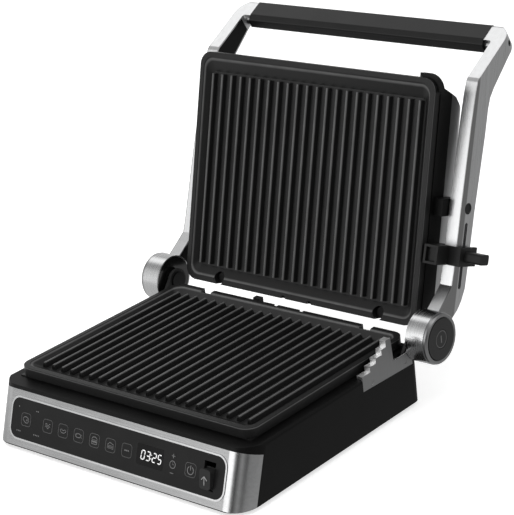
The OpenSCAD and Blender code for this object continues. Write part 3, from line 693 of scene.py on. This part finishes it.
@dataclass
class TouchPanel:
    """The printed and lit marks of the front panel, and those of the slider and the hinge button."""

    lean: float = math.radians(20)
    origin: Triple = (-0.0072, -0.2206, 0.004)
    pad_x: tuple[float, ...] = (-114.3, -85.2, -64.8, -44.4, -24.0, -3.6, 16.8)
    pad_s: float = 27.5
    pad_side: float = 12.2
    figure_x: tuple[float, ...] = (36.9, 43.3, 50.6, 57.0)
    figure_s: float = 28.3
    timer_x: float = 72.8
    timer_pitch: float = 7.7
    power_x: float = 94.0
    arrow: tuple[float, float, float] = (115.3, 23.3, 6.0)
    axis: Point = (0.0474, 0.06757)
    surface: float = 0.4
    inlay: float = 0.5
    line: Ink = field(default_factory=lambda: Ink("mark_grey", 0.16))
    rim: Ink = field(default_factory=lambda: Ink("pad_outline", 0.085))
    lit: Ink = field(default_factory=lambda: Ink("lit_figure", 0.7, 0.55))

    def plane(self, height: float) -> Matrix:
        """Matrix from panel millimetres (x, up the slope, out) to the grill's frame.

        Args:
            height: How far out of the panel's zero plane the marks lie.

        Returns:
            The matrix.
        """
        turn = Matrix.Rotation(math.radians(90) - self.lean, 4, "X")
        rise = Matrix.Translation((0, 0, height * MM))
        return Matrix.Translation(self.origin) @ turn @ rise @ Matrix.Scale(MM, 4)

    def pictograms(self) -> None:
        """Draws one plain food sign on each programme pad."""
        pen = Pen()
        s = self.pad_s
        steak, bacon, sausage, fish, burger, toast, dots = self.pad_x
        back = arc(steak - 0.4, s + 0.2, 3.4, 2.5, 20, 230, 9)
        pen.line([*back, *arc(steak + 0.9, s - 1.2, 2.3, 1.9, 250, 370, 6)], 0.6, True)
        pen.ring(steak + 1.2, s - 0.4, 0.9, 0.4, corners=12)
        for k in (-1.1, 1.1):
            wave = [(bacon - 3.2 + t * 0.8, s + k + 1.3 * math.sin(t * 1.1)) for t in range(9)]
            pen.line(wave, 0.6)
        belly = arc(sausage, s + 2.4, 4.4, 4.4, 205, 335, 8)
        pen.line([*belly, *arc(sausage, s + 2.4, 2.2, 2.0, 335, 205, 6)], 0.6, True)
        tail = [(fish + 4.2, s + 1.9), (fish + 4.2, s - 1.9)]
        pen.line([*arc(fish - 0.6, s, 3.4, 1.9, 25, 335, 12), *tail], 0.6, True)
        pen.disc(fish - 2.4, s + 0.4, 0.4, corners=8)
        pen.line([*arc(burger, s + 0.6, 3.4, 2.8, 0, 180, 8)], 0.6, True)
        pen.bar(burger, s - 0.7, 7.4, 0.7, cut=0.2)
        pen.line(rounded(burger, s - 2.4, 6.8, 1.7, 0.8, 2), 0.6, True)
        left, right = toast - 3.6, toast + 3.6
        pen.line([(left, s - 2.6), (right, s - 2.6), (right, s - 0.2), (left, s - 0.2)], 0.6, True)
        pen.line([(toast - 3.6, s + 0.4), (toast - 1.0, s + 2.8), (toast + 3.6, s + 1.2)], 0.6)
        pen.bar(toast, s - 1.4, 6.4, 0.5)
        for k in (-2.0, 0.0, 2.0):
            pen.disc(dots + k, s, 0.75, corners=10)
        pen.finish("programme_signs", self.plane(self.inlay), "base", self.line.make())

    def outlines(self) -> None:
        """Draws the thin rounded frames of the pads."""
        pen = Pen(0.1)
        for x in (*self.pad_x, self.power_x):
            pen.line(rounded(x, self.pad_s, self.pad_side, self.pad_side, 2.8), 0.55, True)
        pen.finish("pad_frames", self.plane(self.inlay), "base", self.rim.make())

    def doneness(self) -> None:
        """Puts one to four pips round the first pad, in place of words."""
        pen = Pen(0.1)
        spots = ((-125.0, 38.3, 1), (-101.5, 38.0, 2), (-125.0, 15.5, 3), (-102.0, 15.7, 4))
        for x, s, count in spots:
            for i in range(count):
                pen.disc(x + i * 2.1, s, 0.65, corners=10)
        pen.finish("doneness_pips", self.plane(self.surface), "base", self.line.make())

    def figures(self) -> None:
        """Lights the four clock figures and the colon, each of seven strokes."""
        strokes = {0: "abcdef", 3: "abcdg", 2: "abdeg", 5: "acdfg"}
        w, h, t, slant = 3.9, 8.0, 0.9, 0.12
        level = {"a": (0, h / 2, 0), "g": (0, 0, 0), "d": (0, -h / 2, 0)}
        upper = {"f": (-w / 2, h / 4, 1), "b": (w / 2, h / 4, 1)}
        lower = {"e": (-w / 2, -h / 4, 1), "c": (w / 2, -h / 4, 1)}
        places = level | upper | lower
        pen = Pen()
        for x, digit in zip(self.figure_x, (0, 3, 2, 5)):
            for key in strokes[digit]:
                dx, dy, upright = places[key]
                length = h / 2 - 0.5 if upright else w - 0.6
                turn = math.radians(90 - 6.8) if upright else 0
                pen.bar(x + dx + slant * dy, self.figure_s + dy, length, t, turn, 0.4)
        for dy in (-1.6, 1.8):
            middle = (self.figure_x[1] + self.figure_x[2]) / 2
            pen.disc(middle + slant * dy, self.figure_s + dy, 0.5, corners=8)
        pen.finish("clock_figures", self.plane(self.inlay), "base", self.lit.make())

    def keys(self) -> None:
        """Marks plus, clock and minus, and the on/off sign."""
        pen = Pen()
        x, s = self.timer_x, self.pad_s
        up, down = s + self.timer_pitch, s - self.timer_pitch
        pen.bar(x, up, 4.0, 0.6)
        pen.bar(x, up, 0.6, 4.0)
        pen.bar(x, down, 4.0, 0.6)
        pen.ring(x, s, 3.6, 0.6)
        pen.line([(x, s + 2.2), (x, s), (x + 1.7, s)], 0.5)
        pen.ring(self.power_x, s - 0.4, 3.9, 0.75, gap=62)
        pen.bar(self.power_x, s + 1.9, 0.8, 4.4, cut=0.2)
        pen.finish("key_signs", self.plane(self.inlay), "base", self.line.make())

    def arrow_sign(self) -> None:
        """Prints the arrow on the face of the plate release slider, which leans with that face."""
        x, s, up = self.arrow
        pen = Pen(0.14)
        pen.line([(0, -4.0), (0, 3.6)], 0.95)
        pen.line([(-3.2, 0.6), (0, 3.9), (3.2, 0.6)], 0.95)
        face = Matrix.Translation((x, s, up)) @ Matrix.Rotation(math.radians(8), 4, "X")
        pen.finish("release_arrow", self.plane(0.0) @ face, "release_slider", Ink("arrow_grey", 0.3).make())

    def button_marks(self, button: bpy.types.Object) -> None:
        """Prints a thin ring and an upright bar on the round button of the right hinge.

        Args:
            button: The button's node; only its outermost face is read.
        """
        outer = max((button.matrix_world @ corner.co).x for corner in button.data.vertices)
        pen = Pen(0.1)
        pen.ring(0, 0, 8.2, 0.45, corners=40)
        pen.bar(0, 0, 1.1, 7.4, cut=0.3)
        quarter = math.radians(90)
        turn = Matrix.Rotation(quarter, 4, "Z") @ Matrix.Rotation(quarter, 4, "X")
        face = Matrix.Translation((outer, *self.axis)) @ turn
        pen.finish("button_marks", face @ Matrix.Scale(MM, 4), "hinge_button", self.line.make())

    def build(self, button: bpy.types.Object) -> None:
        """Makes every mark of the panel, and those of the hinge button.

        Args:
            button: The hinge button's node.
        """
        self.pictograms()
        self.outlines()
        self.doneness()
        self.figures()
        self.keys()
        self.arrow_sign()
        self.button_marks(button)


@dataclass
class Arms:
    """Places on the bail's arms that their finish reads."""

    splay: float = 0.0158
    shift_x: float = -0.0072
    rise: Triple = (0.0, 0.877, 0.4803)
    bend_at: Triple = (0.0, 0.1647, 0.2926)
    corner_x: float = 0.1485
    corner_u: float = 0.0379
    corner_r: float = 0.0195
    front: Triple = (0.0, 0.9449, -0.3271)
    # where the band of painted edge shade runs, and its width
    edge_at: Triple = (0.0, 0.0891, 0.1181)
    edge_w: float = 0.008


@dataclass
class Dressing:
    """Gives every node of the construction model its finish."""

    nodes: dict[str, bpy.types.Object]
    lid_normal: Triple = (0.0, -0.962313, 0.271944)

    def table(self) -> dict[object, tuple[str, ...]]:
        """Finishes and the nodes that wear them.

        Returns:
            A mapping from finish to node names.
        """
        crown_low = (0.0, 0.0, 0.06757)
        crown_up = tuple(Vector((0.0, 0.0474, 0.06757)) + Vector(self.lid_normal) * -0.0066)
        return {
            Moulded("housing_black", 0.002, 0.4, 0.15, 0.0005, 0.2): ("base_shell",),
            Moulded("cover_black", 0.012, 0.5, 0.3): ("bottom_cover",),
            BrushedMetal("front_steel", 0.46, 0.17): ("front_fascia",),
            BrushedMetal("bright_trim", 0.7, 0.16, streak=0.05): ("panel_frame",),
            Moulded("panel_black", 0.0105, 0.3, 0.14, 0.0003, 0.1): ("touch_panel",),
            Moulded("pad_black", 0.0115, 0.3, 0.14, 0.00031, 0.1): (
                "program_pads", "timer_pads", "power_pad",
            ),
            Moulded("display_black", 0.002, 0.12, 0.2, 0.0006, 0.05): ("display_window",),
            Moulded("slider_black", 0.016, 0.42, 0.3): ("release_slider",),
            CircuitBoard(): ("control_board",),
            Moulded("tray_enamel", 0.008, 0.35, 0.35, 0.0012, 0.3): ("lower_pan",),
            HeatedTube(): ("lower_element", "upper_element"),
            NonStick("lower_coating", (0.0, 0.0, 1.0), crown_low): ("lower_plate",),
            NonStick("upper_coating", self.lid_normal, crown_up): ("upper_plate",),
            # the 0.9 is the tone of the painted highlight on the rack's treads and risers
            BrushedMetal("rack_steel", 0.32, 0.42, Grain.UPRIGHT, 0.06, 0.9): ("rack",),
            Moulded("bracket_paint", 0.014, 0.5, 0.4): ("hinge_bracket_left", "hinge_bracket_right"),
            TurnedMetal("pin_steel", 0.02, 0.4): ("hinge_pin_left", "hinge_pin_right"),
            Moulded("sleeve_rubber", 0.012, 0.6, 0.25, 0.0008, 0.5): ("cable_sleeve",),
            Moulded("foot_rubber", 0.014, 0.7, 0.2, 0.0008, 0.5): ("feet",),
            BrushedMetal("screw_steel", 0.5, 0.3, Grain.UPRIGHT): ("base_screws",),
            Moulded("gland_black", 0.012, 0.55, 0.25): ("cord_gland",),
            TurnedMetal("drum_metal", 0.62, 0.22): ("drum_left", "drum_right"),
            TurnedMetal("ring_metal", 0.32, 0.3): ("drum_ring_left", "drum_ring_right"),
            Moulded("disc_black", 0.017, 0.42, 0.35): ("drum_disc_left", "drum_disc_right"),
            Moulded("button_black", 0.017, 0.42, 0.35, 0.00041): ("hinge_button",),
            Moulded("cap_gloss", 0.006, 0.14, 0.5, 0.002, 0.05, coat=0.3): (
                "inner_cap_left", "inner_cap_right",
            ),
            ArmMetal("arm_metal_left", Side.LEFT): ("arm_left",),
            ArmMetal("arm_metal_right", Side.RIGHT): ("arm_right",),
            Moulded("liner_black", 0.003, 0.4, 0.16): ("arm_liner_left", "arm_liner_right"),
            Moulded("grip_black", 0.006, 0.34, 0.28, 0.0005, 0.15): ("handle_grip",),
            TurnedMetal("rod_steel", 0.4, 0.25, (0.0, 0.154, 0.31)): ("handle_rod",),
            Moulded("cap_black", 0.006, 0.5, 0.25): ("arm_screw_caps",),
            Moulded("pan_black", 0.002, 0.42, 0.17): ("pan_frame",),
            BrushedMetal("cover_steel", 0.55, 0.32, Grain.ALONG_LID): ("pan_cover",),
            Moulded("pivot_black", 0.008, 0.45, 0.3): ("pivot_pin_left", "pivot_pin_right"),
            Moulded("clip_black", 0.008, 0.4, 0.26): ("clip_body", "clip_tab"),
        }

    def dress(self) -> None:
        """Makes each finish once and puts it on its nodes."""
        crown_highlight: set[str] = set()
        for finish, names in self.table().items():
            material = finish.make()
            for name in names:
                node = self.nodes[name]
                if not node.material_slots:
                    node.data.materials.append(None)
                for place in node.material_slots:
                    place.material = material
                crown_highlight.add(name)
                LOG.info("%s wears %s", name, finish.name)
        bare = sorted(set(self.nodes) - crown_highlight)
        if bare:
            raise ValueError(f"nodes without a finish: {bare}")


# ---------------------------------------------------------------- studio


@dataclass
class Studio:
    """Pale floor, soft lamps, a graded room for reflections and the photograph's camera."""

    eye: Triple = (1.171383, -1.278518, 0.804108)
    gaze: tuple[float, float, float, float] = (0.78392309, 0.51508819, 0.23481571, 0.25497122)
    lens: float = 136.5492
    ambient: float = 0.55
    floor_tone: float = 0.8
    floor_lift: float = 0.6
    floor_seen: tuple[float, float, float, float] = (-0.9, 0.35, 0.95, 0.36)
    peak: float = 2.5
    walls: tuple[Point, ...] = (
        (-180, 0.35), (-150, 0.6), (-90, 0.9), (-42, 0.66), (-36, 1.2), (-33, 2.4), (-12, 2.4),
        (-4, 0.5), (8, 0.03),
        (18, 0.25), (28.6, 0.45), (40, 0.25), (52, 0.04), (62, 0.2), (72, 0.38), (125, 0.38), (180, 0.35),
    )
    top: tuple[Point, ...] = (
        (-0.75, 0.9), (-0.6, 0.85), (-0.43, 0.45), (-0.2, 0.33), (-0.1, 0.4), (0.02, 1.38),
        (0.3, 1.4), (0.5, 0.45), (0.8, 0.4),
    )

    def camera(self) -> bpy.types.Object:
        """Sets the camera where the photograph was taken from."""
        data = bpy.data.cameras.new("camera")
        data.lens = self.lens
        data.sensor_width = 36.0
        data.sensor_fit = "AUTO"
        data.clip_start, data.clip_end = 0.05, 60.0
        camera = bpy.data.objects.new("camera", data)
        bpy.context.scene.collection.objects.link(camera)
        camera.rotation_mode = "QUATERNION"
        camera.location = self.eye
        camera.rotation_quaternion = Quaternion(self.gaze)
        bpy.context.scene.camera = camera
        return camera

    def lamp(self, name: str, place: Triple, size: Point, power: float) -> None:
        """Hangs a soft rectangular lamp that looks at the middle of the grill and isn't mirrored by it.

        Args:
            name: Name of the lamp.
            place: Where it hangs.
            size: Width and height.
            power: Watts.
        """
        data = bpy.data.lights.new(name, "AREA")
        data.shape = "RECTANGLE"
        data.size, data.size_y = size
        data.energy = power
        lamp = bpy.data.objects.new(name, data)
        bpy.context.scene.collection.objects.link(lamp)
        lamp.visible_glossy = False
        lamp.location = place
        aim = Vector((0.0, 0.0, 0.14)) - Vector(place)
        lamp.rotation_euler = aim.to_track_quat("-Z", "Y").to_euler()

    def floor(self) -> None:
        """Lays a pale floor: white to the camera where no shadow falls, a tone graded along X to reflections."""
        Bench.clear()
        bpy.ops.mesh.primitive_plane_add(size=14, location=(0, 0, 0))
        floor = bpy.context.object
        floor.name = "floor"
        graph = Graph("floor_pale")
        path = graph.add("ShaderNodeLightPath")
        cloud = graph.noise(graph.grain((0.4,) * 3), 2.0)
        colour = graph.mix(graph.spread(cloud), grey(self.floor_tone * 0.99), grey(self.floor_tone))
        graph.join(colour, graph.shader.inputs["Base Color"])
        graph.fixed(Roughness=0.9, Specular_IOR_Level=0.0)
        glow, mirrored = graph.add("ShaderNodeEmission"), graph.add("ShaderNodeEmission")
        lift = graph.maths("MULTIPLY", path.outputs["Is Camera Ray"], self.floor_lift)
        graph.join(lift, glow.inputs["Strength"])
        graph.join(graph.span(graph.measure((1.0, 0.0, 0.0)), *self.floor_seen), mirrored.inputs["Strength"])
        lit, both = graph.add("ShaderNodeAddShader"), graph.add("ShaderNodeMixShader")
        graph.join(graph.shader.outputs[0], lit.inputs[0])
        graph.join(glow.outputs[0], lit.inputs[1])
        graph.join(path.outputs["Is Glossy Ray"], both.inputs[0])
        graph.join(lit.outputs[0], both.inputs[1])
        graph.join(mirrored.outputs[0], both.inputs[2])
        graph.join(both.outputs[0], graph.tree.nodes["Material Output"].inputs["Surface"])
        floor.data.materials.append(graph.material)

    @staticmethod
    def ramp(
        tree: bpy.types.NodeTree, value: Socket, reach: float, steps: Sequence[Point]
    ) -> Socket:
        """Tones along a value that runs from -reach to reach.

        Args:
            tree: The node tree.
            value: The value's socket.
            reach: Its greatest size.
            steps: Values and their tones.

        Returns:
            The colour socket.
        """
        half = tree.nodes.new("ShaderNodeMath")
        half.operation = "MULTIPLY_ADD"
        half.inputs[1].default_value, half.inputs[2].default_value = 0.5 / reach, 0.5
        tree.links.new(value, half.inputs[0])
        ramp = tree.nodes.new("ShaderNodeValToRGB")
        stops = ramp.color_ramp.elements
        for (place, tone), stop in zip((steps[0], steps[-1]), (stops[0], stops[1])):
            stop.position, stop.color = (place / reach + 1) / 2, (tone, tone, tone, 1)
        for place, tone in steps[1:-1]:
            stops.new((place / reach + 1) / 2).color = (tone, tone, tone, 1)
        tree.links.new(half.outputs[0], ramp.inputs[0])
        return ramp.outputs[0]

    def surroundings(self) -> None:
        """White to the camera; a softly graded room to polished metal; plain ambient light to the rest."""
        world = bpy.data.worlds.new("studio")
        bpy.context.scene.world = world
        world.use_nodes = True
        tree = world.node_tree
        tree.nodes.clear()
        new, link = tree.nodes.new, tree.links.new
        out = new("ShaderNodeOutputWorld")
        path = new("ShaderNodeLightPath")
        plain = new("ShaderNodeBackground")
        plain.inputs["Color"].default_value = (1, 1, 1, 1)
        plain.inputs["Strength"].default_value = self.ambient
        white = new("ShaderNodeBackground")
        white.inputs["Color"].default_value = (1, 1, 1, 1)
        white.inputs["Strength"].default_value = 1.0
        room = new("ShaderNodeBackground")
        coords = new("ShaderNodeTexCoord")
        split = new("ShaderNodeSeparateXYZ")
        link(coords.outputs["Generated"], split.inputs[0])
        back = new("ShaderNodeMath")
        back.operation = "MULTIPLY"
        back.inputs[1].default_value = -1.0
        link(split.outputs["Y"], back.inputs[0])
        bearing = new("ShaderNodeMath")
        bearing.operation = "ARCTAN2"
        link(split.outputs["X"], bearing.inputs[0])
        link(back.outputs[0], bearing.inputs[1])
        round_walls = [(math.radians(a), tone / self.peak) for a, tone in self.walls]
        overhead = [(y, tone / self.peak) for y, tone in self.top]
        wall = self.ramp(tree, bearing.outputs[0], math.pi, round_walls)
        ceiling = self.ramp(tree, split.outputs["Y"], 1.0, overhead)
        high = new("ShaderNodeMapRange")
        for name, number in zip(("From Min", "From Max", "To Min", "To Max"), (0.42, 0.6, 0.0, 1.0)):
            high.inputs[name].default_value = number
        link(split.outputs["Z"], high.inputs["Value"])
        both = new("ShaderNodeMix")
        both.data_type = "RGBA"
        link(high.outputs["Result"], both.inputs[0])
        link(wall, both.inputs[6])
        link(ceiling, both.inputs[7])
        link(both.outputs[2], room.inputs["Color"])
        room.inputs["Strength"].default_value = self.peak
        shine = new("ShaderNodeMath")
        shine.operation = "MAXIMUM"
        link(path.outputs["Is Glossy Ray"], shine.inputs[0])
        link(path.outputs["Is Transmission Ray"], shine.inputs[1])
        first, second = new("ShaderNodeMixShader"), new("ShaderNodeMixShader")
        link(shine.outputs[0], first.inputs[0])
        link(plain.outputs[0], first.inputs[1])
        link(room.outputs[0], first.inputs[2])
        link(path.outputs["Is Camera Ray"], second.inputs[0])
        link(first.outputs[0], second.inputs[1])
        link(white.outputs[0], second.inputs[2])
        link(second.outputs[0], out.inputs["Surface"])

    def build(self) -> None:
        """Sets up the whole studio."""
        self.camera()
        self.floor()
        self.surroundings()
        self.lamp("overhead", (-0.35, -0.25, 2.1), (2.6, 2.4), 26)
        self.lamp("front_strip", (-0.05, -2.3, 0.75), (0.5, 1.1), 14)
        self.lamp("side_fill", (2.3, 0.4, 1.3), (1.2, 1.2), 8)
        bpy.context.scene.view_settings.view_transform = "Standard"


def main() -> None:
    """Builds the look of the grill in order."""
    logging.basicConfig(level=logging.INFO, format="%(name)s: %(message)s")
    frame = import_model()
    Studio().build()
    Dressing(frame["nodes"]).dress()
    TouchPanel().build(frame["nodes"]["hinge_button"])
    Bench.clear()


if __name__ == "__main__":
    main()
